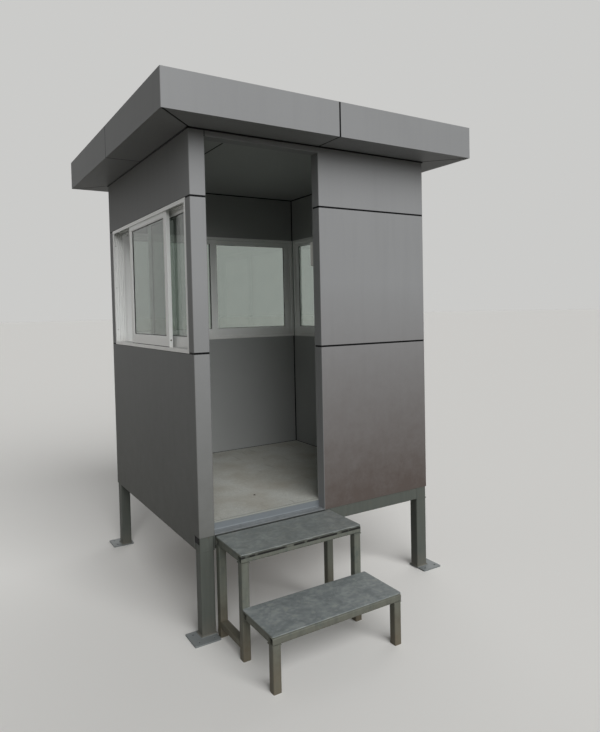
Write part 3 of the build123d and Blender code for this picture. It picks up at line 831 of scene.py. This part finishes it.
# Float glass with a light green-grey body colour and a film of dust
glass, where = new_finish("light_green_float_glass")
film = add_node(glass, "TexNoise", {"Scale": 1000 / 120, "Detail": 5}, {"Vector": where})
film_matt = add_node(
    glass,
    "MapRange",
    {"From Min": 0.4, "From Max": 0.8, "To Min": 0.01, "To Max": 0.09},
    {"Value": film.outputs[0]},
)
tint = add_node(
    glass,
    "Mix",
    {"data_type": "RGBA", 6: rgba("#b4bcb6"), 7: rgba("#aab3ad")},
    {0: film.outputs[0]},
)
skin = add_node(
    glass,
    "BsdfPrincipled",
    {"Transmission Weight": 1.0, "IOR": 1.52, "Specular IOR Level": 0.3},
    {"Base Color": tint.outputs[2], "Roughness": film_matt.outputs[0]},
)
add_node(glass, "OutputMaterial", links={"Surface": skin.outputs[0]})
dress(glass, "window_panes")

# Black EPDM rubber of the glazing gaskets: dull, with a grey bloom
rubber, where = new_finish("black_epdm_gasket")
bloom = add_node(rubber, "TexNoise", {"Scale": 1000 / 40, "Detail": 4}, {"Vector": where})
bloomed = add_node(
    rubber,
    "Mix",
    {"data_type": "RGBA", 6: rgba("#151515"), 7: rgba("#262625")},
    {0: bloom.outputs[0]},
)
skin = add_node(rubber, "BsdfPrincipled", {"Roughness": 0.7}, {"Base Color": bloomed.outputs[2]})
add_node(rubber, "OutputMaterial", links={"Surface": skin.outputs[0]})

# Sizes in each window's own directions, seen from outside: along from its middle,
# in from the wall's face, and up from the sill
WINDOW_TALL, WALL_FACE = 0.7647, 0.75
TRACK = 0.0163
STILE, MEETING = 0.038, 0.044
RAIL_LOW, RAIL_HIGH = 0.056, 0.028
SASH, OVERLAP = 0.020, 0.022
OUTER_TRACK, INNER_TRACK = 0.007, 0.038
BEAD, GASKET = 0.006, 0.003
PANE_FACE, BEAD_SET_BACK = 0.0025, 0.0015
SCREW, SCREW_FLAT = 0.0045, 0.4
ROLLER_UP, JAMB_ALONG, JAMB_IN, JAMB_UP = 0.040, 0.008, 0.017, (0.098, 0.382, 0.666)
PILE_THICK, PILE_TALL, PILE_IN, PILE_UP, PILE_SHORT = 0.0009, 0.0065, 0.0065, 0.0195, 0.001
CATCH_UP, CATCH_PLATE, CATCH_SOFT = 0.24, (0.016, 0.007, 0.062), 0.0025
LEVER_RADIUS, LEVER_THICK, LEVER_CUT, LEVER_SOFT = 0.017, 0.006, 0.001, 0.001
# Along from the edge of the inner sash, and in from its room face
CATCH_AT, LEVER_AT = (0.004, 0.003), (-0.002, 0.0085)
# Name, width, how far the outer sash is slid open, turn and middle of each window
WINDOWS = (
    ("left", 1.355, 0.356, -90, -0.0075),
    ("right", 1.355, 0.0, 90, -0.0075),
    ("back", 1.370, 0.0, 180, 0.0),
)


def pane_ring(left, right, low, high, band, wall_y, rise, toward):
    """A ring round the inside of an opening: a flat band at wall_y, raised toward one side."""
    bpy.ops.mesh.primitive_plane_add(size=1, rotation=(math.pi / 2, 0, 0))
    ring = bpy.context.object
    ring.scale = (right - left, high - low, 1)
    bpy.ops.object.transform_apply(location=True, rotation=True, scale=True)
    ring.data.transform(Matrix.Translation(((left + right) / 2, wall_y, (low + high) / 2)))
    bpy.ops.object.mode_set(mode="EDIT")
    bpy.ops.mesh.select_mode(type="FACE")
    bpy.ops.mesh.select_all(action="SELECT")
    bpy.ops.mesh.inset(thickness=band)
    bpy.ops.mesh.delete(type="FACE")
    bpy.ops.mesh.select_all(action="SELECT")
    bpy.ops.mesh.extrude_region_move(TRANSFORM_OT_translate={"value": (0, toward * rise, 0)})
    bpy.ops.mesh.select_all(action="SELECT")
    bpy.ops.mesh.normals_make_consistent(inside=False)
    bpy.ops.mesh.select_mode(type="EDGE")
    bpy.ops.mesh.select_all(action="DESELECT")
    shell = bmesh.from_edit_mesh(ring.data)
    top = wall_y + toward * rise
    for edge in shell.edges:
        ends = [vertex.co for vertex in edge.verts]
        on_top = all(abs(end.y - top) < 1e-5 for end in ends)
        inner_x = all(left + band / 2 < end.x < right - band / 2 for end in ends)
        inner_z = all(low + band / 2 < end.z < high - band / 2 for end in ends)
        edge.select = on_top and inner_x and inner_z
    bmesh.update_edit_mesh(ring.data)
    bpy.ops.mesh.bevel(offset=min(band, rise) * 0.6, segments=2)
    bpy.ops.object.mode_set(mode="OBJECT")
    return ring


def soften(piece, width, segments):
    """Rounds the edges of the active piece with a bevel."""
    bpy.ops.object.modifier_add(type="BEVEL")
    piece.modifiers["Bevel"].width = width
    piece.modifiers["Bevel"].segments = segments
    bpy.ops.object.modifier_apply(modifier="Bevel")


for side, width, slide, turn, middle in WINDOWS:
    inner = width / 2 - TRACK
    low, high = TRACK + RAIL_LOW, WINDOW_TALL - TRACK - RAIL_HIGH
    turned = Matrix.Rotation(math.radians(turn), 4, "Z")
    from_middle = Matrix.Translation((0, -WALL_FACE, 0))
    place = Matrix.Translation((0, middle, SILL_Z)) @ turned @ from_middle
    beads, gaskets = [], []
    for left, right, near in (
        (-inner + slide + STILE, OVERLAP + slide - MEETING, OUTER_TRACK),
        (-OVERLAP + MEETING, inner - STILE, INNER_TRACK),
    ):
        for toward, face in ((-1, near), (1, near + SASH)):
            pane_y = near + SASH / 2 + toward * PANE_FACE
            rise = abs(face - pane_y) - BEAD_SET_BACK
            beads.append(pane_ring(left, right, low, high, BEAD, pane_y, rise, toward))
            edges = (left + BEAD, right - BEAD, low + BEAD, high - BEAD)
            gaskets.append(pane_ring(*edges, GASKET, pane_y, PANE_FACE, toward))
    for group, name, finish, slot in (
        (beads, "glazing_beads", white, "white_aluminium"),
        (gaskets, "gaskets", rubber, "black_sealant"),
    ):
        bpy.ops.object.select_all(action="DESELECT")
        for ring in group:
            ring.data.transform(place)
            ring.select_set(True)
        bpy.context.view_layer.objects.active = group[0]
        bpy.ops.object.join()
        fit(f"{side}_window_{name}", finish)

    # The outer sash's roller is set with a screw low on the edge of its meeting
    # stile, and screws hold the frame's jamb to the wall, in its outer channel
    flattened = Matrix.Scale(SCREW_FLAT, 4, (0, 0, 1))
    sideways = turned @ Matrix.Rotation(math.pi / 2, 4, "Y") @ flattened
    roller = place @ Vector((OVERLAP + slide, OUTER_TRACK + SASH / 2, TRACK + ROLLER_UP))
    screw_head(SCREW, [roller], sideways, f"{side}_roller_screw")
    spots = [place @ Vector((JAMB_ALONG - width / 2, JAMB_IN, up)) for up in JAMB_UP]
    screw_head(SCREW, spots, sideways, f"{side}_jamb_screws")

    # Black pile strip along the foot of the outer sash, in its gap to the frame: a seal such
    # windows have, whose black also stands in as painted shade for the shadow line in that gap
    pile_from, pile_to = slide - inner + PILE_SHORT, slide + OVERLAP - PILE_SHORT
    bpy.ops.mesh.primitive_cube_add(
        size=1,
        location=((pile_from + pile_to) / 2, PILE_IN, PILE_UP),
        scale=(pile_to - pile_from, PILE_THICK, PILE_TALL),
    )
    bpy.ops.object.transform_apply(location=True, rotation=True, scale=True)
    bpy.context.object.data.transform(place)
    fit(f"{side}_sash_pile_shadow_line", rubber)

    # Crescent catch on the room side of the inner meeting stile: a cast plate and
    # a half-moon lever that turns across the joint. The back window has none.
    if side == "back":
        continue
    stile_face = INNER_TRACK + SASH
    bpy.ops.mesh.primitive_cube_add(
        size=1,
        location=(CATCH_AT[0] - OVERLAP, stile_face + CATCH_AT[1], CATCH_UP),
        scale=CATCH_PLATE,
    )
    bpy.ops.object.transform_apply(location=True, rotation=True, scale=True)
    plate = bpy.context.object
    soften(plate, CATCH_SOFT, 3)
    bpy.ops.mesh.primitive_cylinder_add(
        vertices=32,
        radius=LEVER_RADIUS,
        depth=LEVER_THICK,
        location=(LEVER_AT[0] - OVERLAP, stile_face + LEVER_AT[1], CATCH_UP),
        rotation=(math.pi / 2, 0, 0),
    )
    bpy.ops.object.transform_apply(location=True, rotation=True, scale=True)
    lever = bpy.context.object
    bpy.ops.object.mode_set(mode="EDIT")
    bpy.ops.mesh.select_all(action="SELECT")
    bpy.ops.mesh.bisect(
        plane_co=(LEVER_CUT - OVERLAP, 0, 0), plane_no=(1, 0, 0), use_fill=True, clear_outer=True
    )
    bpy.ops.object.mode_set(mode="OBJECT")
    soften(lever, LEVER_SOFT, 2)
    plate.select_set(True)
    lever.select_set(True)
    bpy.ops.object.join()
    bpy.context.object.data.transform(place)
    fit(f"{side}_window_catch", zinc)


# ---------------------------------------------------------------- switch box
# A surface-mounted moulded box beside the doorway with two rocker switches.
# Glossy white ABS, a little yellowed.
plastic, where = new_finish("moulded_white_abs")
cloud = add_node(plastic, "TexNoise", {"Scale": 1000 / 50, "Detail": 3}, {"Vector": where})
tone = add_node(
    plastic,
    "Mix",
    {"data_type": "RGBA", 6: rgba("#dfded8"), 7: rgba("#e9e8e3")},
    {0: cloud.outputs[0]},
)
skin = add_node(
    plastic, "BsdfPrincipled", {"Roughness": 0.25, "IOR": 1.54}, {"Base Color": tone.outputs[2]}
)
add_node(plastic, "OutputMaterial", links={"Surface": skin.outputs[0]})
dress(plastic, "switch_box")

ROCKER_SIZE, ROCKER_SOFT = (0.042, 0.006, 0.046), 0.0012
ROCKER_APART, ROCKER_SUNK, ROCKER_DIP = 0.027, 0.0005, 0.0018
box_low, box_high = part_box("switch_box")
box_middle = (box_low + box_high) / 2
rockers = []
for apart in (-ROCKER_APART, ROCKER_APART):
    centre = Vector((box_middle.x, box_high.y - ROCKER_SUNK, box_middle.z + apart))
    bpy.ops.mesh.primitive_cube_add(size=1, location=centre, scale=ROCKER_SIZE)
    bpy.ops.object.transform_apply(location=True, rotation=True, scale=True)
    rocker = bpy.context.object
    for vertex in rocker.data.vertices:
        if vertex.co.y > centre.y and vertex.co.z > centre.z:
            vertex.co.y -= ROCKER_DIP
    soften(rocker, ROCKER_SOFT, 2)
    rockers.append(rocker)
rockers[0].select_set(True)
bpy.ops.object.join()
fit("switch_rockers", plastic)


# ---------------------------------------------------------------- steps
# Two welded tables of galvanised square tube with plate treads. The zinc has gone
# mottled and blue-grey on the treads, and greener, then brown, down the legs.
tread_zinc, where = new_finish("mottled_galvanised_plate")
spangle = add_node(
    tread_zinc,
    "TexVoronoi",
    {"Scale": 1000 / 16, "feature": "SMOOTH_F1", "Smoothness": 0.8},
    {"Vector": where},
)
crystal = add_node(tread_zinc, "SeparateColor", links={0: spangle.outputs["Color"]})
zinc_tone = add_node(
    tread_zinc,
    "Mix",
    {"data_type": "RGBA", 6: rgba("#8f9596"), 7: rgba("#a6acab")},
    {0: crystal.outputs[0]},
)
patches = add_node(
    tread_zinc,
    "TexNoise",
    {"Scale": 1000 / 95, "Detail": 7, "Roughness": 0.7, "Distortion": 0.6},
    {"Vector": where},
)
patch_at = add_node(
    tread_zinc,
    "MapRange",
    {"From Min": 0.4, "From Max": 0.62, "To Max": 0.75},
    {"Value": patches.outputs[0]},
)
patched = add_node(
    tread_zinc,
    "Mix",
    {"data_type": "RGBA", 7: rgba("#767e7f")},
    {0: patch_at.outputs[0], 6: zinc_tone.outputs[2]},
)
pale = add_node(tread_zinc, "TexNoise", {"Scale": 1000 / 40, "Detail": 5}, {"Vector": where})
pale_at = add_node(
    tread_zinc,
    "MapRange",
    {"From Min": 0.58, "From Max": 0.7, "To Max": 0.5},
    {"Value": pale.outputs[0]},
)
worn = add_node(
    tread_zinc,
    "Mix",
    {"data_type": "RGBA", 7: rgba("#b0b4ae")},
    {0: pale_at.outputs[0], 6: patched.outputs[2]},
)
matt = add_node(
    tread_zinc, "MapRange", {"To Min": 0.36, "To Max": 0.62}, {"Value": patches.outputs[0]}
)
pitted = add_node(
    tread_zinc, "Bump", {"Strength": 0.4, "Distance": 0.0006}, {"Height": patches.outputs[0]}
)
# The upper tread carries more dust from shoes
height = add_node(tread_zinc, "SeparateXYZ", links={0: where})
upper = add_node(
    tread_zinc,
    "MapRange",
    {"From Min": 0.3, "From Max": 0.45, "To Max": 0.6},
    {"Value": height.outputs["Z"]},
)
trodden = add_node(
    tread_zinc, "Math", {"operation": "MULTIPLY"}, {0: upper.outputs[0], 1: pale.outputs[0]}
)
dusty = add_node(
    tread_zinc,
    "Mix",
    {"data_type": "RGBA", 7: rgba("#7b7d76")},
    {0: trodden.outputs[0], 6: worn.outputs[2]},
)
skin = add_node(
    tread_zinc,
    "BsdfPrincipled",
    {"Metallic": 0.3, "Specular IOR Level": 0.4},
    {"Base Color": dusty.outputs[2], "Roughness": matt.outputs[0], "Normal": pitted.outputs[0]},
)
add_node(tread_zinc, "OutputMaterial", links={"Surface": skin.outputs[0]})
dress(tread_zinc, "step_upper_tread", "step_lower_tread")

# The zinc of the tubes is dull and blotted, with mud splashed up the legs
tube_zinc, where = new_finish("dirty_galvanised_tube")
stretch = add_node(tube_zinc, "Mapping", {"Scale": (1, 1, 0.12)}, {"Vector": where})
runs = add_node(
    tube_zinc, "TexNoise", {"Scale": 1000 / 16, "Detail": 4}, {"Vector": stretch.outputs[0]}
)
tone = add_node(
    tube_zinc,
    "Mix",
    {"data_type": "RGBA", 6: rgba("#5a5c54"), 7: rgba("#72756c")},
    {0: runs.outputs[0]},
)
blots = add_node(
    tube_zinc, "TexNoise", {"Scale": 1000 / 55, "Detail": 5, "Roughness": 0.65}, {"Vector": where}
)
blot_at = add_node(
    tube_zinc,
    "MapRange",
    {"From Min": 0.5, "From Max": 0.68, "To Max": 0.7},
    {"Value": blots.outputs[0]},
)
blotted = add_node(
    tube_zinc,
    "Mix",
    {"data_type": "RGBA", 7: rgba("#4d5653")},
    {0: blot_at.outputs[0], 6: tone.outputs[2]},
)
height = add_node(tube_zinc, "SeparateXYZ", links={0: where})
low_down = add_node(
    tube_zinc,
    "MapRange",
    {"From Min": 0.0, "From Max": 0.26, "To Min": 1.3, "To Max": 0.0},
    {"Value": height.outputs["Z"]},
)
splash = add_node(
    tube_zinc, "Math", {"operation": "MULTIPLY"}, {0: low_down.outputs[0], 1: blots.outputs[0]}
)
muddy = add_node(
    tube_zinc,
    "Mix",
    {"data_type": "RGBA", 7: rgba("#6b5f4d")},
    {0: splash.outputs[0], 6: blotted.outputs[2]},
)
# Painted shadow: black dashes along the top of the upper step's front rim, in the shaded gap below
# the plate
dashes = add_node(tube_zinc, "Mapping", {"Scale": (0.24, 0, 0)}, {"Vector": where})
dash = add_node(
    tube_zinc, "TexNoise", {"Scale": 1000 / 18, "Detail": 2}, {"Vector": dashes.outputs[0]}
)
dash_at = add_node(
    tube_zinc,
    "MapRange",
    {"From Min": 0.41, "From Max": 0.47, "To Min": 0.3},
    {"Value": dash.outputs[0]},
)
rim_low, rim_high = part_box("step_upper_rim")
near = add_node(
    tube_zinc, "Math", {"operation": "COMPARE", 1: rim_low.y, 2: 0.002}, {0: height.outputs["Y"]}
)
along = add_node(
    tube_zinc, "Math", {"operation": "COMPARE", 1: rim_high.z, 2: 0.011}, {0: height.outputs["Z"]}
)
band = add_node(
    tube_zinc, "Math", {"operation": "MULTIPLY"}, {0: near.outputs[0], 1: along.outputs[0]}
)
painted_shadow = add_node(
    tube_zinc, "Math", {"operation": "MULTIPLY"}, {0: band.outputs[0], 1: dash_at.outputs[0]}
)
shadow_dashed = add_node(
    tube_zinc,
    "Mix",
    {"data_type": "RGBA", 7: rgba("#0d0d0b")},
    {0: painted_shadow.outputs[0], 6: muddy.outputs[2]},
)
skin = add_node(
    tube_zinc,
    "BsdfPrincipled",
    {"Metallic": 0.15, "Roughness": 0.55, "Specular IOR Level": 0.3},
    {"Base Color": shadow_dashed.outputs[2]},
)
add_node(tube_zinc, "OutputMaterial", links={"Surface": skin.outputs[0]})
dress(tube_zinc, "step_upper_legs", "step_upper_rim", "step_lower_legs", "step_lower_rim")

# Short welds round the head of each leg, just under the rim. The lower step has
# front legs only, and its beads sit back so that they stay behind its front face.
LEG_TUBE, LEG_WELD, LEG_WELD_TALL, SET_BACK = (0.040, 0.040), 0.0022, 0.004, 0.003
half = LEG_TUBE[0] / 2
for name, rim_foot in (("upper", 0.456), ("lower", 0.2075)):
    leg_low, leg_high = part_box(f"step_{name}_legs")
    front, back = leg_low.y + half, leg_high.y - half
    weld_z = rim_foot - LEG_WELD_TALL
    beads = [
        weld_round((x, y, weld_z), LEG_TUBE, LEG_WELD, LEG_WELD_TALL, taper=False, seed=3)
        for x in (leg_low.x + half, leg_high.x - half)
        for y in ((front, back) if name == "upper" else (front + SET_BACK,))
    ]
    join_beads(beads, f"step_{name}_leg_welds", tube_zinc)

# A run of weld down each side, and along the front of the lower step, holds the
# tread plate up off its rim
PLATE_WELD, WELD_END, WELD_IN, WELD_UP = 0.0062, 0.004, 0.0015, 0.0025
for name in ("upper", "lower"):
    rim_low, rim_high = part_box(f"step_{name}_rim")
    under = rim_high.z + WELD_UP
    front = rim_low.y + WELD_END
    sides = [
        bead_run((x, front, under), (x, rim_high.y - WELD_END, under), PLATE_WELD)
        for x in (rim_low.x + WELD_IN, rim_high.x - WELD_IN)
    ]
    if name == "lower":
        ends = (rim_low.x + WELD_END, front, under), (rim_high.x - WELD_END, front, under)
        sides.append(bead_run(*ends, PLATE_WELD))
    join_beads(sides, f"step_{name}_plate_welds", tube_zinc)


# ---------------------------------------------------------------- studio
# A pale floor, a pale world behind it, a broad soft light from the front, a weak one
# from behind for the far sides, and the camera where the photograph was taken from.
def seen_directly(surface):
    """1 for what the camera sees, also by gloss or through glass, and 0 for the light itself."""
    rays = add_node(surface, "LightPath")
    glossy = {0: rays.outputs["Is Camera Ray"], 1: rays.outputs["Is Glossy Ray"]}
    seen = add_node(surface, "Math", {"operation": "MAXIMUM"}, glossy)
    through = {0: seen.outputs[0], 1: rays.outputs["Is Transmission Ray"]}
    return add_node(surface, "Math", {"operation": "MAXIMUM"}, through).outputs[0]


ground, _ = new_finish("pale_studio_floor")
pale = add_node(
    ground,
    "Mix",
    {"data_type": "RGBA", 6: rgba("#6b6963"), 7: rgba("#efeeeb")},
    {0: seen_directly(ground)},
)
skin = add_node(ground, "BsdfDiffuse", links={"Color": pale.outputs[2]})
add_node(ground, "OutputMaterial", links={"Surface": skin.outputs[0]})
bpy.ops.mesh.primitive_plane_add(size=400)
floor = bpy.context.object
floor.name = "studio_floor"
floor.data.materials.append(ground)

# Direction, strength and width in degrees of the front light and of the back light
LAMPS = (((-0.04, -0.8, 0.5), 2.75, 55), ((0.75, 0.7, 0.3), 1.1, 70))
for direction, energy, angle in LAMPS:
    bpy.ops.object.light_add(type="SUN", location=Vector(direction) * 8)
    lamp = bpy.context.object
    lamp.data.energy = energy
    lamp.data.angle = math.radians(angle)
    lamp.rotation_euler = Vector(direction).to_track_quat("Z", "Y").to_euler()
    lamp.visible_transmission = False

SKY_LIGHT, SKY_SEEN = 0.125, 0.66
world = bpy.data.worlds.new("soft_studio")
bpy.context.scene.world = world
world.use_nodes = True
world.node_tree.nodes.clear()
levels = {"To Min": SKY_LIGHT, "To Max": SKY_SEEN}
strength = add_node(world, "MapRange", levels, {"Value": seen_directly(world)})
sky = add_node(world, "Background", {"Color": rgba("#f4f4f2")}, {"Strength": strength.outputs[0]})
add_node(world, "OutputWorld", links={"Surface": sky.outputs[0]})

# Place in metres, and heading, tilt from upright and roll in degrees
CAMERA_AT = (-1.823, -3.461, 1.6)
HEADING, TILT, ROLL = -31.733, 90 - 1.977, -1.246
bpy.ops.object.camera_add(location=CAMERA_AT)
camera = bpy.context.object
view = Matrix()
for angle, axis in ((HEADING, "Z"), (TILT, "X"), (ROLL, "Z")):
    view = view @ Matrix.Rotation(math.radians(angle), 4, axis)
camera.rotation_euler = view.to_euler()
camera.data.lens = 29.319
camera.data.sensor_width = 36
camera.data.shift_y = -0.047
bpy.context.scene.camera = camera
bpy.context.scene.view_settings.view_transform = "Standard"
